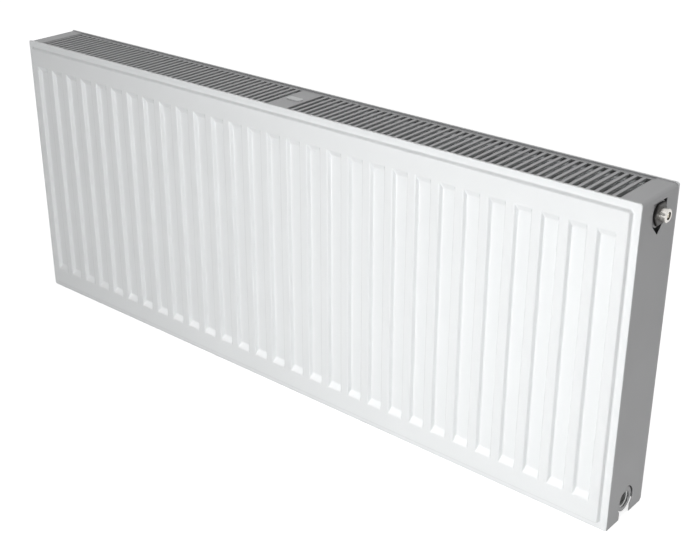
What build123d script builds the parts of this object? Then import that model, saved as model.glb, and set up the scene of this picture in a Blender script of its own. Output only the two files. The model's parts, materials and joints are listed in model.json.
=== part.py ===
"""Steel panel radiator with a bleed valve: two pressed water panels, two folded convectors,
a slotted top grille and two end covers. X runs along the length, -Y faces the room, +Y the wall
and +Z is up. The origin is the bottom centre of the panels. All sizes are in millimetres."""
import os
from math import atan2, degrees, floor, hypot, sqrt

from build123d import *

# Overall sizes
LENGTH = 1000.0
HEIGHT = 400.0
PANEL_SPACING = 80.0  # between the welded seam planes of the two panels

# Pressed panel skins
SKIN = 1.2
RIM = 8.5  # flat welded edge round each pressing
PRESS_DEPTH = 5.5  # rise of the water channels above the rim
EDGE_RUN = 1.5  # sideways run of the ramp from channel to rim
PANEL_CORNER = 2.0  # cut across each corner of a panel
FIELD_CORNER = 3.0  # cut across each corner of the raised field
WATERWAY_PITCH = 100 / 3
RECESS_WIDTH = 21.5  # mouth of the recess between two waterways
RECESS_RUN = 2.0  # sideways run of a recess's long walls
RECESS_END_RUN = 8.4
RECESS_INSET = 34.5  # from the panel's edge to the recess's mouth

# Folded convectors
CONVECTOR_SHEET = 0.6
CONVECTOR_GAP = 7.6  # between the fins of the two convectors
CONVECTOR_DROP = 19.0  # below the panels' top edge
CONVECTOR_RISE = 45.0  # above the panels' bottom edge
CONVECTOR_FOOT = 10.0
CONVECTOR_LEAN = 2.0

# Connecting tees with half-inch pipe sockets
PORT_OFFSET = 22.5  # socket axis from the top or bottom edge
TEE_INSET = 26.0  # cross tube axis from the panel's end
TEE_TUBE = 22.0  # outside of the square cross tube
TEE_WATERWAY = 15.0  # inside of the square cross tube
BUSH_RADIUS = 15.5
BUSH_SETBACK = 1.5  # bush face behind the panel's end
SOCKET_RADIUS = 9.3
SOCKET_DEPTH = 14.0
THROAT_RADIUS = 7.0  # from the socket into the cross tube
ROUND_SIDES = 24  # of round pieces that hardly show

# End covers
COVER_SHEET = 1.0
COVER_DROP = 1.0  # top of the cover below the panels' top edge
COVER_STRIP = 25.0  # width of the strip that is bent over the top
COVER_BEND = 4.5
COVER_UPSTAND = 0.8  # rise of the strip's edges beside the rims
COVER_CLEARANCE = 0.3
VENT_CUTOUT_HALF = 14.5
VENT_CUTOUT_RISE = 13.5
VENT_CUTOUT_DROP = 24.0
PIPE_CUTOUT_RADIUS = 17.0
PIPE_SLOT_WIDTH = 23.5

# Top grille, its clip and the spacer that the clip holds
GRILLE_SHEET = 1.0
GRILLE_LAP = 5.0  # tucked under each end cover
SLOT_PITCH = 10.08
SLOT_WIDTH = 6.0
SLOT_MARGIN = 5.5  # plain edge along the panels
SLOT_END_MARGIN = 2.0
BRIDGE_WIDTH = 34.0  # plain stretch between the two rows of slots
SPACER_SHEET = 2.0
SPACER_HEIGHT = 8.0
SPACER_GAP = 0.5  # above the convectors
SPACER_FOOT = 14.0
CLIP_SHEET = 1.2
CLIP_LENGTH = 22.0
CLIP_WIDTH = 11.0
CLIP_CORNER = 2.0
CLIP_LEG_LENGTH = 16.0
CLIP_HOLE_CLEARANCE = 0.2

# Socket plugs and their seals
PLUG_THREAD_LENGTH = 12.0
THREAD_CLEARANCE = 0.05
SEAL_THICKNESS = 1.0
SEAL_RADIUS = 11.5
HEX_ACROSS_FLATS = 24.0
HEX_HEIGHT = 3.0
HEX_CHAMFER = 0.8

# Bleed valve
NOSE_RADIUS = 7.5
NOSE_LENGTH = 8.0
NOSE_CHAMFER = 1.0
KEY_RECESS_RADIUS = 4.4
KEY_RECESS_DEPTH = 5.5
VENT_PASSAGE = 1.5
SEAT_FROM_FACE = 1.3
BLEED_RADIUS = 3.0
BLEED_CLEARANCE = 0.05
SEAT_GAP = 0.2  # left under the screw's end and its square when the valve is shut
KEY_SQUARE = 5.0
KEY_LENGTH = 4.2
ORING_SECTION = 0.9
ORING_FROM_FACE = 4.15
ORING_GROOVE_WIDTH = 1.3
OUTLET_RADIUS = 1.0
OUTLET_FROM_SEAT = 1.2

# Hanging lugs on the wall side
LUG_SHEET = 1.5
LUG_HEIGHT = 26.0
LUG_STANDOFF = 6.0
LUG_FOOT = 10.0
LUG_LEAN = 2.0
LUG_INSET = 133.0  # from the panel's end, moved to the nearest recess
LUG_FROM_EDGE = 85.0

# Places that several pieces share
END = LENGTH / 2
SEAM = PANEL_SPACING / 2
RIM_INSIDE = SEAM - SKIN
CREST_INSIDE = SEAM - SKIN - PRESS_DEPTH
CREST_OUTSIDE = SEAM + SKIN + PRESS_DEPTH
COVER_TOP = HEIGHT - COVER_DROP
GRILLE_TOP = COVER_TOP - COVER_SHEET
BRIDGE_CENTRE = -SLOT_PITCH / 2  # the left-hand row is one slot shorter
BUSH_FACE = END - BUSH_SETBACK
PORT_HEIGHTS = {"top": HEIGHT - PORT_OFFSET, "bottom": PORT_OFFSET}
SIDES = {"left": -1, "right": 1}
WATERWAYS = round(LENGTH / WATERWAY_PITCH)
RECESSES = [(i - WATERWAYS / 2) * WATERWAY_PITCH for i in range(1, WATERWAYS)]
CUT_OVERRUN = 1.0


def block(x, y, z):
    """Box between two limits on each axis."""
    size = [high - low for low, high in (x, y, z)]
    centre = [(low + high) / 2 for low, high in (x, y, z)]
    return Pos(*centre) * Box(*size)


def rod(start, end, radius):
    """Cylinder on the X axis."""
    return extrude(Plane.YZ.offset(start) * Circle(radius), end - start)


def faceted_rod(start, end, radius, over_corners=True):
    """Nearly round bar on the X axis, measured over its corners or over its flats."""
    outline = RegularPolygon(radius, ROUND_SIDES, major_radius=over_corners)
    return extrude(Plane.YZ.offset(start) * outline, end - start)


def faceted_ring(start, end, outer, inner):
    """Nearly round ring on the X axis that stays between the two radii."""
    return faceted_rod(start, end, outer) - faceted_rod(start, end, inner, over_corners=False)


def hex_bar(start, end):
    """Hexagon bar on the X axis, chamfered at its outer end, with two flats level."""
    outline = RegularPolygon(HEX_ACROSS_FLATS / 2, 6, major_radius=False)
    bar = extrude(Plane.YZ.offset(start) * outline, end - start)
    return chamfer(bar.faces().sort_by(Axis.X)[-1].edges(), HEX_CHAMFER)


def folded_sheet(path, thickness, height):
    """Sheet folded along a path seen from above, with its thickness on the path's left side."""
    normals = []
    for (x0, y0), (x1, y1) in zip(path, path[1:]):
        run = hypot(x1 - x0, y1 - y0)
        normals.append(((y0 - y1) / run, (x1 - x0) / run))
    far_side = []
    for (x, y), (ax, ay), (bx, by) in zip(path, normals[:1] + normals, normals + normals[-1:]):
        mitre = thickness / (1 + ax * bx + ay * by)
        far_side.append((x + mitre * (ax + bx), y + mitre * (ay + by)))
    outline = Polyline(*path, *reversed(far_side), close=True)
    return extrude(make_face(outline), height, dir=(0, 0, 1))


def cut_rectangle(width, height, corner):
    """Rectangle with its corners cut off."""
    return chamfer(Rectangle(width, height).vertices(), corner)


def recess_block(low, high, size_at, centre):
    """Block with four sloping flat sides between two levels in front of the seam plane."""
    low_x, low_z = (size / 2 for size in size_at(low))
    high_x, high_z = (size / 2 for size in size_at(high))
    plan = [(-low_x, -low), (low_x, -low), (high_x, -high), (-high_x, -high)]
    side = [(-low, -low_z), (-low, low_z), (-high, high_z), (-high, -high_z)]
    upright = extrude(make_face(Polyline(*plan, close=True)), 2 * high_z, both=True)
    level = extrude(Plane.YZ * make_face(Polyline(*side, close=True)), 2 * high_x, both=True)
    return Pos(centre, 0, HEIGHT / 2) * (upright & level)


def field_block(low, high, size_at, corner):
    """Block with its corners cut off that narrows from one level to the next."""
    outline = cut_rectangle(*size_at(low), corner)
    slope = degrees(atan2(EDGE_RUN, PRESS_DEPTH))
    return extrude(Plane.XZ.offset(low) * Pos(0, HEIGHT / 2) * outline, high - low, taper=slope)


def sheet_offset(run):
    """Sideways distance between the two faces of a sheet that rises over the given run."""
    return SKIN * hypot(run, PRESS_DEPTH) / PRESS_DEPTH


def field_size(level):
    """Outline of the raised field's outer face."""
    inset = RIM + EDGE_RUN * (level - SKIN) / PRESS_DEPTH
    return LENGTH - 2 * inset, HEIGHT - 2 * inset


def cavity_size(level):
    """Outline of the raised field's inner face."""
    wall = sheet_offset(EDGE_RUN)
    return tuple(size - 2 * wall for size in field_size(level))


def recess_size(level):
    """Outline of one recess's outer face."""
    fall = (SKIN + PRESS_DEPTH - level) / PRESS_DEPTH
    width = RECESS_WIDTH - 2 * RECESS_RUN * fall
    height = HEIGHT - 2 * RECESS_INSET - 2 * RECESS_END_RUN * fall
    return width, height


def boss_size(level):
    """Outline of one recess's inner face."""
    width, height = recess_size(level)
    return width + 2 * sheet_offset(RECESS_RUN), height + 2 * sheet_offset(RECESS_END_RUN)


def pressed_skin():
    """One pressed sheet with its seam face on Y = 0 and its channels raised towards -Y."""
    plate = extrude(Plane.XZ * Pos(0, HEIGHT / 2) * cut_rectangle(LENGTH, HEIGHT, PANEL_CORNER), SKIN)
    face = SKIN + PRESS_DEPTH
    outside = plate + field_block(0, face, field_size, FIELD_CORNER)
    pockets = [recess_block(SKIN, face + CUT_OVERRUN, recess_size, x) for x in RECESSES]
    bosses = [recess_block(-2 * CUT_OVERRUN, face, boss_size, x) for x in RECESSES]
    inside_corner = FIELD_CORNER - (2 - sqrt(2)) * sheet_offset(EDGE_RUN)
    cavity = field_block(-CUT_OVERRUN, PRESS_DEPTH, cavity_size, inside_corner) - bosses
    return outside - pockets - cavity


def water_holes():
    """Openings that let the four tees into a panel."""
    places = [(side * (END - TEE_INSET), z) for side in SIDES.values() for z in PORT_HEIGHTS.values()]
    opening = Box(TEE_WATERWAY, 4 * (SKIN + PRESS_DEPTH), TEE_WATERWAY)
    return [Pos(x, 0, z) * opening for x, z in places]


def convector():
    """Folded fins for the front panel, with a foot on every waterway between the tees."""
    foot_line = -CREST_INSIDE
    fin_line = -CONVECTOR_GAP / 2 - CONVECTOR_SHEET
    crests = [x + WATERWAY_PITCH / 2 for x in RECESSES[:-1]]
    half_foot = CONVECTOR_FOOT / 2
    path = []
    for x in crests:
        if path:
            path.append((x - half_foot - CONVECTOR_LEAN, fin_line))
        path += [(x - half_foot, foot_line), (x + half_foot, foot_line)]
        if x is not crests[-1]:
            path.append((x + half_foot + CONVECTOR_LEAN, fin_line))
    fins = folded_sheet(path, CONVECTOR_SHEET, HEIGHT - CONVECTOR_DROP - CONVECTOR_RISE)
    return Pos(0, 0, CONVECTOR_RISE) * fins


def tee():
    """Right-hand tee about its socket's axis: a cross tube between the panels and a socket bush."""
    tube_x = END - TEE_INSET
    tube = Pos(tube_x, 0, 0) * Box(TEE_TUBE, 2 * CREST_INSIDE, TEE_TUBE)
    waterway = Pos(tube_x, 0, 0) * Box(TEE_WATERWAY, 2 * CREST_INSIDE + CUT_OVERRUN, TEE_WATERWAY)
    bush = faceted_rod(tube_x + TEE_TUBE / 2, BUSH_FACE, BUSH_RADIUS)
    socket = rod(BUSH_FACE - SOCKET_DEPTH, BUSH_FACE, SOCKET_RADIUS)
    throat = faceted_rod(tube_x, BUSH_FACE - SOCKET_DEPTH, THROAT_RADIUS)
    return tube + bush - waterway - socket - throat


def vent_cutout():
    """Shield-shaped hole with a pointed foot, round the upper socket's axis."""
    shoulder = VENT_CUTOUT_HALF - VENT_CUTOUT_DROP
    corners = [
        (-VENT_CUTOUT_HALF, VENT_CUTOUT_RISE),
        (VENT_CUTOUT_HALF, VENT_CUTOUT_RISE),
        (VENT_CUTOUT_HALF, shoulder),
        (0, -VENT_CUTOUT_DROP),
        (-VENT_CUTOUT_HALF, shoulder),
    ]
    return Pos(0, PORT_HEIGHTS["top"]) * make_face(Polyline(*corners, close=True))


def pipe_cutout():
    """Round hole at the lower socket with a slot that is open at the cover's foot."""
    slot = Rectangle(PIPE_SLOT_WIDTH, 2 * PORT_OFFSET)
    return Pos(0, PORT_HEIGHTS["bottom"]) * Circle(PIPE_CUTOUT_RADIUS) + slot


def end_cover():
    """Right-hand cover: a side plate, a strip bent over the top and two flanges behind the rims."""
    inner_end = END - COVER_SHEET
    strip_edge = END - COVER_STRIP
    across = (-RIM_INSIDE, RIM_INSIDE)
    shell = block((strip_edge, END), across, (0, COVER_TOP))
    bend = shell.edges().filter_by(Axis.Y).group_by(Axis.Z)[-1].sort_by(Axis.X)[-1]
    hollow = block((strip_edge - CUT_OVERRUN, inner_end), across, (-CUT_OVERRUN, COVER_TOP - COVER_SHEET))
    inner_bend = hollow.edges().filter_by(Axis.Y).group_by(Axis.Z)[-1].sort_by(Axis.X)[-1]
    cover = fillet(bend, COVER_BEND) - fillet(inner_bend, COVER_BEND - COVER_SHEET)
    flange_edge = END - RIM + COVER_CLEARANCE
    for side in (-1, 1):
        limits = sorted((side * RIM_INSIDE, side * (RIM_INSIDE - COVER_SHEET)))
        cover += block((flange_edge, inner_end), limits, (0, COVER_TOP - COVER_BEND))
        edge_top = COVER_TOP + COVER_UPSTAND
        cover += block((strip_edge, END - COVER_BEND), limits, (COVER_TOP - COVER_SHEET, edge_top))
    holes = vent_cutout() + pipe_cutout()
    return cover - extrude(Plane.YZ.offset(END - COVER_BEND) * holes, 2 * COVER_BEND)


def grille_slots():
    """A row of slots on each side of the plain bridge near mid length."""
    slot = Box(SLOT_WIDTH, 2 * (RIM_INSIDE - SLOT_MARGIN), 4 * GRILLE_SHEET)
    first = (BRIDGE_WIDTH + SLOT_WIDTH) / 2
    last = END - COVER_STRIP - SLOT_END_MARGIN - SLOT_WIDTH / 2
    places = []
    for side in SIDES.values():
        room = last - side * BRIDGE_CENTRE - first
        row = [first + i * SLOT_PITCH for i in range(floor(room / SLOT_PITCH) + 1)]
        places += [BRIDGE_CENTRE + side * x for x in row]
    return [Pos(x, 0, GRILLE_TOP) * slot for x in places]


def top_grille():
    """Slotted plate whose edges rise to the panels' rims and stand on their shoulders."""
    half_length = END - COVER_STRIP + GRILLE_LAP
    along = (-half_length, half_length)
    upstand_end = END - COVER_STRIP - COVER_CLEARANCE
    grille = block(along, (-RIM_INSIDE, RIM_INSIDE), (GRILLE_TOP - GRILLE_SHEET, GRILLE_TOP))
    for side in SIDES.values():
        edge = sorted((side * RIM_INSIDE, side * (RIM_INSIDE - GRILLE_SHEET)))
        grille += block(along, edge, (HEIGHT - RIM, GRILLE_TOP))
        grille += block((-upstand_end, upstand_end), edge, (GRILLE_TOP, COVER_TOP + COVER_UPSTAND))
    hole_length = SPACER_SHEET + 2 * CLIP_SHEET + 2 * CLIP_HOLE_CLEARANCE
    clip_hole = Box(hole_length, CLIP_WIDTH + 2 * CLIP_HOLE_CLEARANCE, 4 * GRILLE_SHEET)
    return grille - grille_slots() - Pos(BRIDGE_CENTRE, 0, GRILLE_TOP) * clip_hole


def grille_clip():
    """Spring clip: a pad on the bridge and two legs that grip the spacer."""
    pad = extrude(cut_rectangle(CLIP_LENGTH, CLIP_WIDTH, CLIP_CORNER), CLIP_SHEET)
    leg_x = (SPACER_SHEET + CLIP_SHEET) / 2
    leg = Box(CLIP_SHEET, CLIP_WIDTH, CLIP_LEG_LENGTH, align=(Align.CENTER, Align.CENTER, Align.MAX))
    clip = pad + Pos(-leg_x, 0, 0) * leg + Pos(leg_x, 0, 0) * leg
    return Pos(BRIDGE_CENTRE, 0, GRILLE_TOP) * clip


def centre_spacer():
    """Strap welded to a waterway of each panel near mid length, which the clip holds."""
    web = SPACER_SHEET / 2
    path = [(web - SPACER_FOOT, -CREST_INSIDE), (web, -CREST_INSIDE)]
    path += [(x, -y) for x, y in reversed(path)]
    strap = folded_sheet(path, SPACER_SHEET, SPACER_HEIGHT)
    return Pos(BRIDGE_CENTRE, 0, HEIGHT - CONVECTOR_DROP + SPACER_GAP) * strap


def blanking_plug():
    """Threaded stem and hexagon of a plug, on the X axis with the bush face at X = 0."""
    stem = faceted_rod(-PLUG_THREAD_LENGTH, SEAL_THICKNESS, SOCKET_RADIUS - THREAD_CLEARANCE)
    return stem + hex_bar(SEAL_THICKNESS, SEAL_THICKNESS + HEX_HEIGHT)


def plug_seal():
    """Flat ring between a bush and a plug's hexagon."""
    return faceted_ring(0, SEAL_THICKNESS, SEAL_RADIUS, SOCKET_RADIUS)


def vent_plug():
    """Plug with a nose that guides the bleed screw onto its seat and hides it in a key recess."""
    nose_start = SEAL_THICKNESS + HEX_HEIGHT
    nose_end = nose_start + NOSE_LENGTH
    nose = rod(nose_start, nose_end, NOSE_RADIUS)
    nose = chamfer(nose.faces().sort_by(Axis.X)[-1].edges(), NOSE_CHAMFER)
    passage = rod(-PLUG_THREAD_LENGTH, SEAT_FROM_FACE, VENT_PASSAGE)
    guide = rod(SEAT_FROM_FACE, nose_end, BLEED_RADIUS + BLEED_CLEARANCE)
    key_recess = rod(nose_end - KEY_RECESS_DEPTH, nose_end, KEY_RECESS_RADIUS)
    down = (Align.CENTER, Align.CENTER, Align.MAX)
    outlet_place = Pos(SEAT_FROM_FACE + OUTLET_FROM_SEAT, 0, 0)
    outlet = outlet_place * Cylinder(OUTLET_RADIUS, HEX_ACROSS_FLATS, align=down)
    return blanking_plug() + nose - passage - guide - key_recess - outlet


def bleed_screw():
    """Flat-ended screw with a groove for its sealing ring and a square for the key."""
    tip = SEAT_FROM_FACE + SEAT_GAP
    shoulder = SEAL_THICKNESS + HEX_HEIGHT + NOSE_LENGTH - KEY_RECESS_DEPTH + SEAT_GAP
    groove = (ORING_FROM_FACE - ORING_GROOVE_WIDTH / 2, ORING_FROM_FACE + ORING_GROOVE_WIDTH / 2)
    groove_root = BLEED_RADIUS - ORING_SECTION - BLEED_CLEARANCE
    shank = rod(tip, shoulder, BLEED_RADIUS) - (rod(*groove, BLEED_RADIUS) - rod(*groove, groove_root))
    key = extrude(Plane.YZ.offset(shoulder) * Rectangle(KEY_SQUARE, KEY_SQUARE), KEY_LENGTH)
    return shank + key


def bleed_oring():
    """Square-section ring that slides with the bleed screw and seals it in the nose."""
    start = ORING_FROM_FACE - ORING_SECTION / 2
    return faceted_ring(start, start + ORING_SECTION, BLEED_RADIUS, BLEED_RADIUS - ORING_SECTION)


def hanging_lug():
    """Strap over one recess of the wall-side panel, open below and above for a wall hook."""
    foot_in = WATERWAY_PITCH / 2 - LUG_FOOT / 2
    foot_out = WATERWAY_PITCH / 2 + LUG_FOOT / 2
    bridge = CREST_OUTSIDE + LUG_STANDOFF
    path = [(-foot_out, CREST_OUTSIDE), (-foot_in, CREST_OUTSIDE), (LUG_LEAN - foot_in, bridge)]
    path += [(-x, y) for x, y in reversed(path)]
    return Pos(0, 0, -LUG_HEIGHT / 2) * folded_sheet(path, LUG_SHEET, LUG_HEIGHT)


def build():
    """All the pieces of the radiator in place, by name."""
    parts = {}
    raised = pressed_skin()
    sunk = mirror(raised, Plane.XZ)
    holes = water_holes()
    parts["front_panel_outer_skin"] = Pos(0, -SEAM, 0) * raised
    parts["front_panel_inner_skin"] = Pos(0, -SEAM, 0) * (sunk - holes)
    parts["rear_panel_inner_skin"] = Pos(0, SEAM, 0) * (raised - holes)
    parts["rear_panel_outer_skin"] = Pos(0, SEAM, 0) * sunk
    fins = convector()
    parts["front_convector"] = fins
    parts["rear_convector"] = Rot(0, 0, 180) * fins
    parts["centre_spacer"] = centre_spacer()
    parts["top_grille"] = top_grille()
    parts["grille_clip"] = grille_clip()
    turned = {"left": Rot(0, 0, 180), "right": Rot(0, 0, 0)}
    cover = end_cover()
    fitting = tee()
    lug = hanging_lug()
    lug_x = min((x for x in RECESSES if x > 0), key=lambda x: abs(x - (END - LUG_INSET)))
    lug_heights = {"upper": HEIGHT - LUG_FROM_EDGE, "lower": LUG_FROM_EDGE}
    for name, side in SIDES.items():
        parts[f"{name}_end_cover"] = turned[name] * cover
        for level, z in PORT_HEIGHTS.items():
            parts[f"{level}_{name}_tee"] = Pos(0, 0, z) * turned[name] * fitting
        for level, z in lug_heights.items():
            parts[f"{level}_{name}_lug"] = Pos(side * lug_x, 0, z) * lug
    vent_place = Pos(BUSH_FACE, 0, PORT_HEIGHTS["top"])
    blank_place = Pos(-BUSH_FACE, 0, PORT_HEIGHTS["top"]) * Rot(0, 0, 180)
    parts["vent_plug"] = vent_place * vent_plug()
    parts["vent_plug_seal"] = vent_place * plug_seal()
    parts["bleed_screw"] = vent_place * bleed_screw()
    parts["bleed_oring"] = vent_place * bleed_oring()
    parts["blanking_plug"] = blank_place * blanking_plug()
    parts["blanking_plug_seal"] = blank_place * plug_seal()
    return parts


os.makedirs("parts", exist_ok=True)
for node, shape in build().items():
    export_step(shape, f"parts/{node}.step")
    print(node, len(shape.solids()), round(shape.volume, 1))
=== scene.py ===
# %% [markdown]
# # A steel panel radiator with a bleed valve
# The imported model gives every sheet, fin, tee and screw its true size and place. This lesson gives them
# their looks: soft pressed bends, powder-coated paint, plated brass, and the light of a product photograph.
# All sizes are in metres, in the model's own frame: X along the radiator, -Y to the room, Z up.

# %% Load the model
import json
import math

import bmesh
import bpy
from mathutils import Matrix, Vector


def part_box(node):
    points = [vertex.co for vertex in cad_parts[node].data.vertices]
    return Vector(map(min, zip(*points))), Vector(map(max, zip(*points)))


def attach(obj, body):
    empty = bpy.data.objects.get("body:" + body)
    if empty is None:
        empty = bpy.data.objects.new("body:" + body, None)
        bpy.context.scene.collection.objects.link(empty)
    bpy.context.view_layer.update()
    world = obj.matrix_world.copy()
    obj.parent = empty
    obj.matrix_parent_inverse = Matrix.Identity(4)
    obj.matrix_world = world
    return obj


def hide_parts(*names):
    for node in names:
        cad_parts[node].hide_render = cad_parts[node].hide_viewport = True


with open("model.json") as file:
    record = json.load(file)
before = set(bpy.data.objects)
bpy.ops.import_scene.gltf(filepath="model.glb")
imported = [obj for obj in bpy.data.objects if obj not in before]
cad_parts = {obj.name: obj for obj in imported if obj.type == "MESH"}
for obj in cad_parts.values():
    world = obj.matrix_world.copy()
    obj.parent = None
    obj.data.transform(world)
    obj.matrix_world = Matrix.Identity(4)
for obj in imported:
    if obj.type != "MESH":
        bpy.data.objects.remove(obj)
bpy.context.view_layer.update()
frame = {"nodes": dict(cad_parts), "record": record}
nodes = frame["nodes"]
print("loaded", len(nodes), "nodes")

# %% [markdown]
# ## The camera
# The photograph looks at the right-hand end from above, with a longish lens. Its place was worked out
# from the corners of the front panel. A small shift stands for the crop, so no turn of the frame is needed.

# %% Camera
CAMERA_PLACE = Vector((1.0071, -1.1001, 0.8631))
CAMERA_AZIMUTH = math.radians(41.43)
CAMERA_ELEVATION = math.radians(25.18)
CAMERA_ROLL = math.radians(-0.46)
CAMERA_LENS = 63.09
CAMERA_SENSOR = 36
CAMERA_NEAR = 0.01
CAMERA_SHIFT = (0.0421, -0.0126)

scene = bpy.context.scene
camera = bpy.data.objects.new("camera", bpy.data.cameras.new("camera"))
scene.collection.objects.link(camera)
camera.data.lens = CAMERA_LENS
camera.data.sensor_width = CAMERA_SENSOR
camera.data.shift_x, camera.data.shift_y = CAMERA_SHIFT
camera.data.clip_start = CAMERA_NEAR
tilt = Matrix.Rotation(math.pi / 2 - CAMERA_ELEVATION, 4, "X")
roll = Matrix.Rotation(CAMERA_ROLL, 4, "Z")
turn = Matrix.Rotation(CAMERA_AZIMUTH, 4, "Z")
camera.matrix_world = Matrix.Translation(CAMERA_PLACE) @ turn @ tilt @ roll
scene.camera = camera
print("camera at", [round(v, 3) for v in CAMERA_PLACE])

# %% [markdown]
# ## Studio
# The photograph is lit from in front of the right-hand end, so shadows fall out of sight behind the radiator,
# and the front panel fades from right to left as it leaves the lamp. One soft lamp there does the same, low
# enough to leave the upper slopes darker. A weak lamp above it looks down through the grille's slots.
# A long softbox at the front left is set to show in reflections only: it draws the bright tongues at the foot
# of the recesses and the lines along the bends. The world gives a fill that is strongest from the upper right
# behind the radiator. It shows as plain white to the camera and in reflections.

# %% Lamps
def soft_lamp(name, place, aim, width, height, power):
    """Rectangular area lamp that looks at a point."""
    data = bpy.data.lights.new(name, "AREA")
    data.shape = "RECTANGLE"
    data.energy = power
    data.size = width
    data.size_y = height
    lamp = bpy.data.objects.new(name, data)
    lamp.location = place
    lamp.rotation_euler = (Vector(aim) - Vector(place)).to_track_quat("-Z", "Y").to_euler()
    scene.collection.objects.link(lamp)
    return lamp


soft_lamp("key_lamp", place=(0.46, -1.15, 0.19), aim=(0.46, 0.0, 0.15), width=0.6, height=0.36, power=7.9)
soft_lamp("top_lamp", place=(0.42, -0.6, 1.4), aim=(0.42, 0.0, 0.3), width=0.4, height=0.4, power=2.7)
softbox = soft_lamp("softbox", place=(-1.3, -1.8, 1.0), aim=(-1.3, 0.0, 0.3), width=2.1, height=0.5, power=17)
softbox.visible_diffuse = False
print("lamps", [lamp.name for lamp in bpy.data.lights])

# %% World and floor
FILL_FROM = (0.55, 0.42, 0.72)
FILL_WEAK = 0.1
FILL_STRONG = 0.63
FILL_TURNS = -0.2
FLOOR_SIZE = 8.0
FLOOR_COLOUR = (0.6, 0.6, 0.6, 1)
FLOOR_ROUGHNESS = 0.9
FLOOR_GLOW = 0.8
WHITE = (1, 1, 1, 1)


def add(tree, kind, **values):
    """Node with some of its properties set."""
    node = tree.nodes.new(kind)
    for key, value in values.items():
        setattr(node, key, value)
    return node


def seen_directly(tree):
    """A value that is 1 for rays from the camera, from gloss and through glass."""
    path = add(tree, "ShaderNodeLightPath")
    gloss = add(tree, "ShaderNodeMath", operation="MAXIMUM")
    tree.links.new(path.outputs["Is Camera Ray"], gloss.inputs[0])
    tree.links.new(path.outputs["Is Glossy Ray"], gloss.inputs[1])
    through = add(tree, "ShaderNodeMath", operation="MAXIMUM")
    tree.links.new(gloss.outputs[0], through.inputs[0])
    tree.links.new(path.outputs["Is Transmission Ray"], through.inputs[1])
    return through.outputs[0]


world = bpy.data.worlds.new("studio")
world.use_nodes = True
scene.world = world
tree = world.node_tree
sky = tree.nodes["Background"]
sky.inputs["Color"].default_value = WHITE
towards = add(tree, "ShaderNodeTexCoord")
along = add(tree, "ShaderNodeVectorMath", operation="DOT_PRODUCT")
along.inputs[1].default_value = FILL_FROM
tree.links.new(towards.outputs["Generated"], along.inputs[0])
fill = add(tree, "ShaderNodeMapRange")
fill.inputs["From Min"].default_value = FILL_TURNS
fill.inputs["To Min"].default_value = FILL_WEAK
fill.inputs["To Max"].default_value = FILL_STRONG
tree.links.new(along.outputs["Value"], fill.inputs["Value"])
strength = add(tree, "ShaderNodeMapRange")
tree.links.new(fill.outputs["Result"], strength.inputs["To Min"])
strength.inputs["To Max"].default_value = 1.0
tree.links.new(seen_directly(tree), strength.inputs["Value"])
tree.links.new(strength.outputs["Result"], sky.inputs["Strength"])

floor_mesh = bmesh.new()
bmesh.ops.create_grid(floor_mesh, x_segments=1, y_segments=1, size=FLOOR_SIZE / 2)
floor_data = bpy.data.meshes.new("floor")
floor_mesh.to_mesh(floor_data)
floor_mesh.free()
floor = bpy.data.objects.new("floor", floor_data)
scene.collection.objects.link(floor)
floor_paint = bpy.data.materials.new("floor_paint")
floor_paint.use_nodes = True
tree = floor_paint.node_tree
floor_shader = tree.nodes["Principled BSDF"]
floor_shader.inputs["Base Color"].default_value = FLOOR_COLOUR
floor_shader.inputs["Roughness"].default_value = FLOOR_ROUGHNESS
floor_shader.inputs["Emission Color"].default_value = WHITE
glow = add(tree, "ShaderNodeMath", operation="MULTIPLY")
glow.inputs[1].default_value = FLOOR_GLOW
tree.links.new(seen_directly(tree), glow.inputs[0])
tree.links.new(glow.outputs[0], floor_shader.inputs["Emission Strength"])
floor_data.materials.append(floor_paint)
scene.view_settings.view_transform = "Standard"
print("studio lit")

# %% [markdown]
# ## Paint
# Radiators are dipped in primer and powder coated. The film flows a little before it sets, so it has a very
# fine orange peel, and its thickness, tone and gloss drift over a hand's breadth. One node group makes these
# for the white panels and for the grey casing, each with its own amounts. The casing's grey is partly its
# paint and partly painted shade, for the dimmer light on the covers and the grille.

# %% Helpers for materials
def new_group(name, inputs, outputs):
    """Empty shader node group with float or colour sockets."""
    group = bpy.data.node_groups.new(name, "ShaderNodeTree")
    for socket, kind, value in inputs:
        made = group.interface.new_socket(socket, in_out="INPUT", socket_type=kind)
        made.default_value = value
    for socket, kind in outputs:
        group.interface.new_socket(socket, in_out="OUTPUT", socket_type=kind)
    return group, group.nodes.new("NodeGroupInput"), group.nodes.new("NodeGroupOutput")


def noise(tree, where, scale, detail):
    """Noise texture on the given coordinates."""
    node = add(tree, "ShaderNodeTexNoise")
    tree.links.new(where, node.inputs["Vector"])
    node.inputs["Scale"].default_value = scale
    node.inputs["Detail"].default_value = detail
    return node.outputs["Fac"]


def remap(tree, value, low, high):
    """A 0 to 1 value stretched between two numbers or sockets."""
    node = add(tree, "ShaderNodeMapRange")
    tree.links.new(value, node.inputs["Value"])
    for socket, end in (("To Min", low), ("To Max", high)):
        if isinstance(end, (int, float)):
            node.inputs[socket].default_value = end
        else:
            tree.links.new(end, node.inputs[socket])
    return node.outputs["Result"]


def two_tones(tree, mask, pale, deep):
    """A colour that runs from the pale to the deep tone with a mask."""
    node = add(tree, "ShaderNodeMix", data_type="RGBA")
    node.inputs["A"].default_value = (*pale, 1)
    node.inputs["B"].default_value = (*deep, 1)
    tree.links.new(mask, node.inputs["Factor"])
    return node.outputs["Result"]


def new_material(name):
    """Material with an empty Principled shader, and its node tree."""
    material = bpy.data.materials.new(name)
    material.use_nodes = True
    return material, material.node_tree, material.node_tree.nodes["Principled BSDF"]


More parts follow.
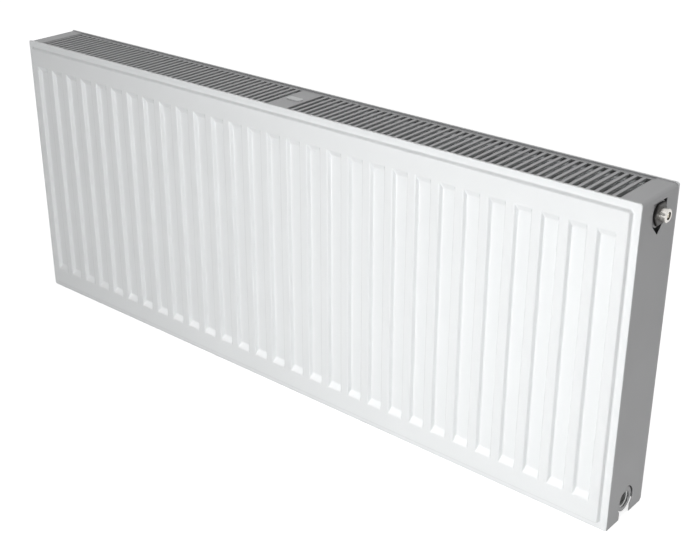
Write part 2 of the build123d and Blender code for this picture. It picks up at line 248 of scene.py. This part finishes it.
def bump(tree, shader, height, distance, amount):
    """Sends a height to the shader's normal."""
    node = add(tree, "ShaderNodeBump")
    node.inputs["Distance"].default_value = distance
    node.inputs["Strength"].default_value = amount
    tree.links.new(height, node.inputs["Height"])
    tree.links.new(node.outputs["Normal"], shader.inputs["Normal"])


print("material helpers ready")

# %% Powder coat
PEEL_SCALE = 420.0
PEEL_DEPTH = 0.0001
PEEL_AMOUNT = 0.25
DRIFT_SCALE = 9.0
SHEEN_SCALE = 27.0

powder_coat, coat_in, coat_out = new_group(
    "powder_coat",
    [
        ("Pale", "NodeSocketColor", (0.8, 0.8, 0.8, 1)),
        ("Deep", "NodeSocketColor", (0.7, 0.7, 0.7, 1)),
        ("Smooth", "NodeSocketFloat", 0.25),
        ("Rough", "NodeSocketFloat", 0.4),
    ],
    [("Colour", "NodeSocketColor"), ("Roughness", "NodeSocketFloat"), ("Peel", "NodeSocketFloat")],
)
where = add(powder_coat, "ShaderNodeTexCoord").outputs["Object"]
drift = noise(powder_coat, where, DRIFT_SCALE, 3.0)
tone = add(powder_coat, "ShaderNodeMix", data_type="RGBA")
powder_coat.links.new(drift, tone.inputs["Factor"])
powder_coat.links.new(coat_in.outputs["Pale"], tone.inputs["A"])
powder_coat.links.new(coat_in.outputs["Deep"], tone.inputs["B"])
powder_coat.links.new(tone.outputs["Result"], coat_out.inputs["Colour"])
sheen_drift = noise(powder_coat, where, SHEEN_SCALE, 4.0)
gloss = remap(powder_coat, sheen_drift, coat_in.outputs["Smooth"], coat_in.outputs["Rough"])
powder_coat.links.new(gloss, coat_out.inputs["Roughness"])
powder_coat.links.new(noise(powder_coat, where, PEEL_SCALE, 2.0), coat_out.inputs["Peel"])


def enamel(name, pale, deep, smooth, rough):
    """Powder-coated paint between two tones and two roughnesses."""
    material, tree, shader = new_material(name)
    coat = add(tree, "ShaderNodeGroup", node_tree=powder_coat)
    coat.inputs["Pale"].default_value = (*pale, 1)
    coat.inputs["Deep"].default_value = (*deep, 1)
    coat.inputs["Smooth"].default_value = smooth
    coat.inputs["Rough"].default_value = rough
    tree.links.new(coat.outputs["Colour"], shader.inputs["Base Color"])
    tree.links.new(coat.outputs["Roughness"], shader.inputs["Roughness"])
    bump(tree, shader, coat.outputs["Peel"], PEEL_DEPTH, PEEL_AMOUNT)
    return material


white_enamel = enamel("white_enamel", (0.86, 0.875, 0.88), (0.83, 0.845, 0.85), 0.16, 0.26)
# Grey of the casing: its paint, set darker as painted shade for the dim covers and grille.
grey_enamel = enamel("grey_enamel", (0.45, 0.452, 0.458), (0.42, 0.422, 0.428), 0.4, 0.52)
print("paint mixed")

# %% [markdown]
# ## Paint and painted shade between the panels
# Between the panels, deep below the grille's slots, the white runs over to a pale grey. The grey is painted
# shade for the dim inside, and partly the primer that shows where the powder hardly reaches. The same paint
# is copied, and its colour runs over to the grey with the height, a little ragged where the powder thins out.

# %% Thin paint and painted shade
# Grey below the given height: painted shade between the panels, partly primer.
PRIMER_AND_SHADE = (0.62, 0.63, 0.635, 1)
SHADE_AND_PRIMER_TOP = 0.3815
SHADE_AND_PRIMER_FADE = 0.003
RAGGED_SCALE = 60.0

shade_and_primer_enamel = white_enamel.copy()
shade_and_primer_enamel.name = "shade_and_primer_enamel"
tree = shade_and_primer_enamel.node_tree
where = add(tree, "ShaderNodeTexCoord").outputs["Object"]
height = add(tree, "ShaderNodeSeparateXYZ")
tree.links.new(where, height.inputs["Vector"])
ragged = remap(tree, noise(tree, where, RAGGED_SCALE, 3.0), -SHADE_AND_PRIMER_FADE, SHADE_AND_PRIMER_FADE)
level = add(tree, "ShaderNodeMath", operation="ADD")
tree.links.new(height.outputs["Z"], level.inputs[0])
tree.links.new(ragged, level.inputs[1])
shade_and_primer_mask = add(tree, "ShaderNodeMapRange")
tree.links.new(level.outputs["Value"], shade_and_primer_mask.inputs["Value"])
shade_and_primer_mask.inputs["From Min"].default_value = SHADE_AND_PRIMER_TOP
shade_and_primer_mask.inputs["From Max"].default_value = SHADE_AND_PRIMER_TOP - SHADE_AND_PRIMER_FADE
shade_and_primer_colour = add(tree, "ShaderNodeMix", data_type="RGBA")
tree.links.new(shade_and_primer_mask.outputs["Result"], shade_and_primer_colour.inputs["Factor"])
paint = next(n for n in tree.nodes if n.type == "GROUP")
tree.links.new(paint.outputs["Colour"], shade_and_primer_colour.inputs["A"])
shade_and_primer_colour.inputs["B"].default_value = PRIMER_AND_SHADE
tree.links.new(shade_and_primer_colour.outputs["Result"], tree.nodes["Principled BSDF"].inputs["Base Color"])
print("primer shows below", SHADE_AND_PRIMER_TOP)

# %% [markdown]
# ## Plated brass, rubber and plastic
# The plugs are turned brass with nickel plating, so fine rings run round their axis. The rings follow the
# distance along the axis on the barrels and the distance from the axis on the faces.

# %% Metal, rubber and plastic
PORT_HEIGHT_TOP = 0.3775
RING_SCALE = 2600.0
RING_DEPTH = 0.00003
TARNISH_SCALE = 220.0
GRAIN_DEPTH = 0.00005
GRAIN_SHEEN = 0.08
MARK_AMOUNT = 0.3

lathe_marks, marks_in, marks_out = new_group(
    "lathe_marks",
    [("Smooth", "NodeSocketFloat", 0.15), ("Rough", "NodeSocketFloat", 0.35)],
    [("Roughness", "NodeSocketFloat"), ("Groove", "NodeSocketFloat"), ("Tarnish", "NodeSocketFloat")],
)
where = add(lathe_marks, "ShaderNodeTexCoord").outputs["Object"]
centred = add(lathe_marks, "ShaderNodeMapping")
centred.inputs["Location"].default_value = (0, 0, -PORT_HEIGHT_TOP)
lathe_marks.links.new(where, centred.inputs["Vector"])
axes = add(lathe_marks, "ShaderNodeSeparateXYZ")
lathe_marks.links.new(centred.outputs["Vector"], axes.inputs["Vector"])
flat = add(lathe_marks, "ShaderNodeCombineXYZ")
lathe_marks.links.new(axes.outputs["Y"], flat.inputs["Y"])
lathe_marks.links.new(axes.outputs["Z"], flat.inputs["Z"])
radius = add(lathe_marks, "ShaderNodeVectorMath", operation="LENGTH")
lathe_marks.links.new(flat.outputs["Vector"], radius.inputs[0])
rings = add(lathe_marks, "ShaderNodeCombineXYZ")
lathe_marks.links.new(axes.outputs["X"], rings.inputs["X"])
lathe_marks.links.new(radius.outputs["Value"], rings.inputs["Y"])
groove = noise(lathe_marks, rings.outputs["Vector"], RING_SCALE, 1.0)
lathe_marks.links.new(groove, marks_out.inputs["Groove"])
shine = remap(lathe_marks, groove, marks_in.outputs["Smooth"], marks_in.outputs["Rough"])
lathe_marks.links.new(shine, marks_out.inputs["Roughness"])
lathe_marks.links.new(noise(lathe_marks, where, TARNISH_SCALE, 3.0), marks_out.inputs["Tarnish"])


def turned_metal(name, bright, dull, smooth, rough):
    """Turned and plated metal with rings round its axis and a little tarnish."""
    material, tree, shader = new_material(name)
    marks = add(tree, "ShaderNodeGroup", node_tree=lathe_marks)
    marks.inputs["Smooth"].default_value = smooth
    marks.inputs["Rough"].default_value = rough
    tree.links.new(two_tones(tree, marks.outputs["Tarnish"], bright, dull), shader.inputs["Base Color"])
    tree.links.new(marks.outputs["Roughness"], shader.inputs["Roughness"])
    shader.inputs["Metallic"].default_value = 1.0
    bump(tree, shader, marks.outputs["Groove"], RING_DEPTH, MARK_AMOUNT)
    return material


def grained(name, pale, deep, roughness, grain_scale):
    """Moulded rubber or plastic with a fine grain."""
    material, tree, shader = new_material(name)
    where = add(tree, "ShaderNodeTexCoord").outputs["Object"]
    grain = noise(tree, where, grain_scale, 3.0)
    tree.links.new(two_tones(tree, grain, pale, deep), shader.inputs["Base Color"])
    sheen = remap(tree, grain, roughness - GRAIN_SHEEN, roughness + GRAIN_SHEEN)
    tree.links.new(sheen, shader.inputs["Roughness"])
    bump(tree, shader, grain, GRAIN_DEPTH, MARK_AMOUNT)
    return material


nickel = turned_metal("nickel", (0.76, 0.74, 0.71), (0.66, 0.64, 0.6), 0.16, 0.34)
screw_brass = turned_metal("screw_brass", (0.62, 0.58, 0.5), (0.5, 0.46, 0.38), 0.2, 0.4)
# Near-black metal for the plug's hexagon: painted shade, not a plating of its own.
hex_painted_shade = turned_metal("hex_painted_shade", (0.075, 0.072, 0.07), (0.045, 0.043, 0.042), 0.3, 0.45)
bare_steel = turned_metal("bare_steel", (0.62, 0.63, 0.64), (0.48, 0.48, 0.47), 0.25, 0.45)
seal_rubber = grained("seal_rubber", (0.03, 0.03, 0.032), (0.018, 0.018, 0.02), 0.65, 900.0)
clip_plastic = grained("clip_plastic", (0.72, 0.73, 0.73), (0.66, 0.67, 0.67), 0.45, 700.0)

SLOT_MATERIALS = {
    "white_enamel": white_enamel,
    "grey_enamel": grey_enamel,
    "white_plastic": clip_plastic,
    "nickel": nickel,
    "nickel_screw": screw_brass,
    "black_rubber": seal_rubber,
}
# Parts between the panels take the paint that turns to painted shade below the grille.
BETWEEN_PANELS = (
    "front_panel_inner_skin", "rear_panel_inner_skin", "front_convector", "rear_convector", "centre_spacer",
)
slot_of = {part["node"]: part["material_slot"] for part in frame["record"]["subparts"]}
for name, node in nodes.items():
    node.data.materials.clear()
    node.data.materials.append(shade_and_primer_enamel if name in BETWEEN_PANELS else SLOT_MATERIALS[slot_of[name]])
print("materials on", len(slot_of), "nodes")

# %% [markdown]
# ## Pressed skins
# A press rounds every bend of the sheet. The model's skins have sharp bends, so each gets a copy whose
# triangles are welded and joined into flat faces, and whose bends are rounded by a bevel. Only the bends of
# the outer face are picked, by their height above the seam. The cut edge of the sheet gets a much smaller
# bevel, as wide as the paint that gathers on it.

# %% Helpers for rounded copies
WELD = 0.00001
FLAT_ANGLE = 1
SHARP_FOLD = 50
EDGE_SEGMENTS = 2


def node_copy(name):
    """A node's mesh with its loose triangles welded and its flat neighbours joined."""
    mesh = bmesh.new()
    mesh.from_mesh(nodes[name].data)
    bmesh.ops.remove_doubles(mesh, verts=mesh.verts[:], dist=WELD)
    flat = math.radians(FLAT_ANGLE)
    bmesh.ops.dissolve_limit(mesh, angle_limit=flat, verts=mesh.verts[:], edges=mesh.edges[:])
    return mesh


def folds(edge, least):
    """Whether an edge is a fold of at least the given angle."""
    return len(edge.link_faces) == 2 and edge.calc_face_angle() > math.radians(least)


def round_off(mesh, edges, radius, segments):
    """Bevels the given edges to the given radius."""
    bmesh.ops.bevel(
        mesh, geom=edges, offset=radius, segments=segments, profile=0.5,
        affect="EDGES", material=-1, clamp_overlap=True,
    )


def new_piece(mesh, name, *materials):
    """Turns a bmesh into an object in the scene."""
    data = bpy.data.meshes.new(name)
    mesh.to_mesh(data)
    mesh.free()
    for material in materials:
        data.materials.append(material)
    piece = bpy.data.objects.new(name, data)
    scene.collection.objects.link(piece)
    return piece


def finish_piece(mesh, name, node, extra_materials=(), body="radiator"):
    """Turns a bmesh into a smooth-shaded piece that stands for a node."""
    for edge in mesh.edges:
        edge.smooth = not folds(edge, SHARP_FOLD)
    piece = new_piece(mesh, name, nodes[node].data.materials[0], *extra_materials)
    for polygon in piece.data.polygons:
        polygon.use_smooth = True
    weighted = piece.modifiers.new("flat_faces", "WEIGHTED_NORMAL")
    weighted.keep_sharp = True
    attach(piece, body)
    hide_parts(node)
    return piece


print("helpers ready")

# %% Soft bends
SKIN = 0.0012
PANEL_SEAM = 0.040
BEND_RADIUS = 0.0014
BEND_SEGMENTS = 4
BEND_LEAST = 15
PAINTED_EDGE = 0.0004
CUT_LEAST = 60
RIM_WIDTH = 3 * SKIN
LEVEL_SLACK = 0.0001


def soft_skin(node, seam, outward):
    """Copy of a pressed skin with its outer bends and its cut edge rounded."""
    mesh = node_copy(node)
    depth = max((v.co.y - seam) * outward for v in mesh.verts)
    half_length = max(v.co.x for v in mesh.verts)
    height = max(v.co.z for v in mesh.verts)

    def inside(vertex):
        return abs(vertex.co.x) < half_length - RIM_WIDTH and RIM_WIDTH < vertex.co.z < height - RIM_WIDTH

    def at_level(vertex, *levels):
        level = (vertex.co.y - seam) * outward
        return any(abs(level - wanted) < LEVEL_SLACK for wanted in levels)

    bends = [e for e in mesh.edges if all(inside(v) and at_level(v, SKIN, depth) for v in e.verts)]
    bends = [e for e in bends if folds(e, BEND_LEAST)]
    round_off(mesh, bends, BEND_RADIUS, BEND_SEGMENTS)
    cut = [e for e in mesh.edges if all(at_level(v, SKIN) and not inside(v) for v in e.verts)]
    cut = [e for e in cut if folds(e, CUT_LEAST)]
    round_off(mesh, cut, PAINTED_EDGE, EDGE_SEGMENTS)
    piece = finish_piece(mesh, "soft_" + node, node)
    print(node, len(bends), "bends,", len(cut), "cut edges,", len(piece.data.polygons), "faces")


for panel, seam, outward in (("front", -PANEL_SEAM, -1), ("rear", PANEL_SEAM, 1)):
    soft_skin(f"{panel}_panel_outer_skin", seam, outward)
    soft_skin(f"{panel}_panel_inner_skin", seam, -outward)

# %% [markdown]
# ## Convectors
# Each convector is one thin sheet, folded back and forth by rollers, so its folds are round. They run the
# full height, which makes them easy to pick: they are the long upright edges, apart from the two cut ends.

# %% Round folds
FOLD_RADIUS = 0.001
FOLD_SEGMENTS = 3
FOLD_LEAST = 30
UPRIGHT = 0.1

for node in ("front_convector", "rear_convector"):
    mesh = node_copy(node)
    end = max(v.co.x for v in mesh.verts) - FOLD_RADIUS
    upright = [e for e in mesh.edges if abs(e.verts[0].co.z - e.verts[1].co.z) > UPRIGHT]
    upright = [e for e in upright if abs(e.verts[0].co.x) < end and folds(e, FOLD_LEAST)]
    round_off(mesh, upright, FOLD_RADIUS, FOLD_SEGMENTS)
    piece = finish_piece(mesh, "soft_" + node, node)
    print(node, len(upright), "folds,", len(piece.data.polygons), "faces")

# %% [markdown]
# ## Casing, lugs and small sheet pieces
# Punched and folded sheet keeps a narrow rounded edge under its paint. It is less than half a millimetre,
# yet it draws the fine light lines along the slots and the covers. All of these pieces only need a bevel on
# every sharp edge, each with its own width.

# %% Rounded edges
CORNER_LEAST = 28
EDGE_WIDTHS = {
    "top_grille": 0.00025,
    "left_end_cover": 0.0003,
    "right_end_cover": 0.0003,
    "grille_clip": 0.0003,
    "centre_spacer": 0.0004,
    "upper_left_lug": 0.0004,
    "lower_left_lug": 0.0004,
    "upper_right_lug": 0.0004,
    "lower_right_lug": 0.0004,
    "top_left_tee": 0.0007,
    "top_right_tee": 0.0007,
    "blanking_plug": 0.0004,
}


def sharp_edges(mesh):
    """Edges that a hand would feel as corners."""
    return [e for e in mesh.edges if folds(e, CORNER_LEAST)]


for node, width in EDGE_WIDTHS.items():
    mesh = node_copy(node)
    round_off(mesh, sharp_edges(mesh), width, EDGE_SEGMENTS)
    piece = finish_piece(mesh, "soft_" + node, node)
    print(node, len(piece.data.polygons), "faces")

# %% [markdown]
# ## Slot edges of the grille
# Seen from low down, the slots at the far end of the photograph close up to plain grey: their long edges are
# turned down, so the sheet looks thicker than it is. The model leaves these edges out. A thin strip under
# each long wall of a slot stands for one, and the walls are found in the grille's own mesh.

# %% Turned-down edges
LIP_DROP = 0.0012
LIP_SHEET = 0.0008
LIP_LAP = 0.0003
LIP_EDGE = 0.3 * LIP_SHEET
SLOT_LEAST = 0.03
FACES_ALONG = 0.9

lips = bmesh.new()
grille = node_copy("top_grille")
grille_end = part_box("top_grille")[1][0] - LIP_SHEET
for wall in grille.faces:
    middle = wall.calc_center_bounds()
    length = max(v.co.y for v in wall.verts) - min(v.co.y for v in wall.verts)
    if abs(wall.normal.x) < FACES_ALONG or length < SLOT_LEAST or abs(middle.x) > grille_end:
        continue
    bottom = min(v.co.z for v in wall.verts)
    middle.x -= wall.normal.x * LIP_SHEET / 2
    middle.z = bottom + (LIP_LAP - LIP_DROP) / 2
    size = Matrix.Diagonal((LIP_SHEET, length, LIP_DROP + LIP_LAP, 1))
    bmesh.ops.create_cube(lips, size=1.0, matrix=Matrix.Translation(middle) @ size)
grille.free()
lowest = min(v.co.z for v in lips.verts)
hems = [e for e in lips.edges if all(v.co.z < lowest + LIP_LAP for v in e.verts)]
round_off(lips, hems, LIP_EDGE, EDGE_SEGMENTS)
grille_lips = new_piece(lips, "grille_lips", grey_enamel)
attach(grille_lips, "radiator")
print("turned-down edges", len(grille_lips.data.polygons), "faces")

# %% [markdown]
# ## Spot welds
# The hanging lugs are resistance welded to the waterways, and each weld leaves a shallow round button under
# the paint. A low cone frustum with a rounded rim makes one button, two on each foot of every lug.

# %% Weld buttons
WELD_RADIUS = 0.003
WELD_TOP = 0.7 * WELD_RADIUS
WELD_RISE = 0.0003
WELD_RIM = WELD_RISE / 4
WELD_PROUD = WELD_RISE / 4
WELD_GAP = 0.012
WELD_SIDES = 20
RIM_EDGE_MOST = 0.001
RIM_LEAST = 5
LUG_FOOT_WIDTH = 0.010
LUG_SHEET = 0.0015

turned = Matrix.Rotation(-math.pi / 2, 4, "X")
welds = bmesh.new()
for node in ("upper_left_lug", "lower_left_lug", "upper_right_lug", "lower_right_lug"):
    low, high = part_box(node)
    middle = (low[2] + high[2]) / 2
    foot_face = low[1] + LUG_SHEET
    for x in (low[0] + LUG_FOOT_WIDTH / 2, high[0] - LUG_FOOT_WIDTH / 2):
        for z in (middle - WELD_GAP / 2, middle + WELD_GAP / 2):
            place = Matrix.Translation((x, foot_face + WELD_PROUD, z)) @ turned
            bmesh.ops.create_cone(
                welds, cap_ends=True, segments=WELD_SIDES, radius1=WELD_RADIUS, radius2=WELD_TOP,
                depth=WELD_RISE, matrix=place,
            )
rims = [e for e in welds.edges if folds(e, RIM_LEAST) and e.calc_length() < RIM_EDGE_MOST]
round_off(welds, rims, WELD_RIM, EDGE_SEGMENTS)
lug_welds = new_piece(welds, "lug_welds", white_enamel)
lug_welds.data.shade_smooth()
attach(lug_welds, "radiator")
print("weld buttons", len(lug_welds.data.polygons), "faces")

# %% [markdown]
# ## Open sockets
# The two lower sockets wait for the pipes, so their half-inch pipe threads show. The model bores them at the
# thread's inner width. A thread could be cut with a boolean, but it is lighter to widen the bore to the
# thread's outer width and to wind a triangular ridge round it: one triangle, spun and moved along the axis.
# The sockets are masked when the radiator is painted, so bore and ridge are bare steel.

# %% Pipe threads
BORE = 0.0093
BORE_SLACK = 0.0003
FACES_INWARD = 0.5
THREAD_ROOT = 0.0104
RIDGE_SUNK = 0.0002
RIDGE_HALF = 0.45
THREAD_PITCH = 0.001814
THREAD_TURNS = 6
THREAD_STEPS = 40
SOCKET_RIM = 0.0007


def in_bore(vertex, height):
    """Whether a vertex lies on the wall of the threaded bore."""
    return abs(math.hypot(vertex.co.y, vertex.co.z - height) - BORE) < BORE_SLACK


for node, side in (("bottom_left_tee", -1), ("bottom_right_tee", 1)):
    mesh = node_copy(node)
    low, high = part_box(node)
    height = (low[2] + high[2]) / 2
    face = high[0] if side > 0 else low[0]
    wall = [v for v in mesh.verts if in_bore(v, height)]
    widen = Matrix.Diagonal((1, THREAD_ROOT / BORE, THREAD_ROOT / BORE, 1))
    bmesh.ops.transform(mesh, matrix=widen, space=Matrix.Translation((0, 0, -height)), verts=wall)
    bore_faces = [f for f in mesh.faces if all(v in wall for v in f.verts) and abs(f.normal.x) < FACES_INWARD]
    for bore_face in bore_faces:
        bore_face.material_index = 1
    round_off(mesh, sharp_edges(mesh), SOCKET_RIM, EDGE_SEGMENTS)
    start = face - side * (SOCKET_RIM + THREAD_PITCH / 2)
    foot = THREAD_ROOT + RIDGE_SUNK
    profile = [(-RIDGE_HALF, foot), (0, BORE), (RIDGE_HALF, foot)]
    corners = [mesh.verts.new((start + along * THREAD_PITCH, 0, height + out)) for along, out in profile]
    ridge = mesh.faces.new(corners)
    before = set(mesh.faces)
    step = Vector((-side * THREAD_PITCH / THREAD_STEPS, 0, 0))
    bmesh.ops.spin(
        mesh, geom=[ridge, *ridge.edges, *ridge.verts], cent=(start, 0, height), axis=(1, 0, 0), dvec=step,
        angle=2 * math.pi * THREAD_TURNS, steps=THREAD_TURNS * THREAD_STEPS, use_duplicate=False,
    )
    thread = [f for f in mesh.faces if f not in before or f == ridge]
    bmesh.ops.recalc_face_normals(mesh, faces=thread)
    for thread_face in thread:
        thread_face.material_index = 1
    finish_piece(mesh, "threaded_" + node, node, [bare_steel])
    print(node, len(wall), "bore points,", len(thread), "thread faces")

# %% [markdown]
# ## Bleed valve
# The plug is one turned piece of plated brass. Its hexagon is drawn near-black: painted shade for the shade
# it sits in. The nose is bright nickel. The copy keeps the model's shape, gets its corners rounded, and its
# faces take the second material by their distance along the axis. The screw rides on its own body.

# %% Plug and screw
NOSE_START = 0.50252
PLUG_EDGE = 0.00045
PLUG_SEGMENTS = 3
SCREW_EDGE = 0.0003

mesh = node_copy("vent_plug")
round_off(mesh, sharp_edges(mesh), PLUG_EDGE, PLUG_SEGMENTS)
# Faces behind the nose take the near-black painted shade; the nose keeps the nickel.
for plug_face in mesh.faces:
    plug_face.material_index = 0 if plug_face.calc_center_median().x > NOSE_START else 1
piece = finish_piece(mesh, "soft_vent_plug", "vent_plug", [hex_painted_shade])
print("vent plug", len(piece.data.polygons), "faces")

mesh = node_copy("bleed_screw")
round_off(mesh, sharp_edges(mesh), SCREW_EDGE, EDGE_SEGMENTS)
piece = finish_piece(mesh, "soft_bleed_screw", "bleed_screw", body="bleed_screw")
print("bleed screw", len(piece.data.polygons), "faces")
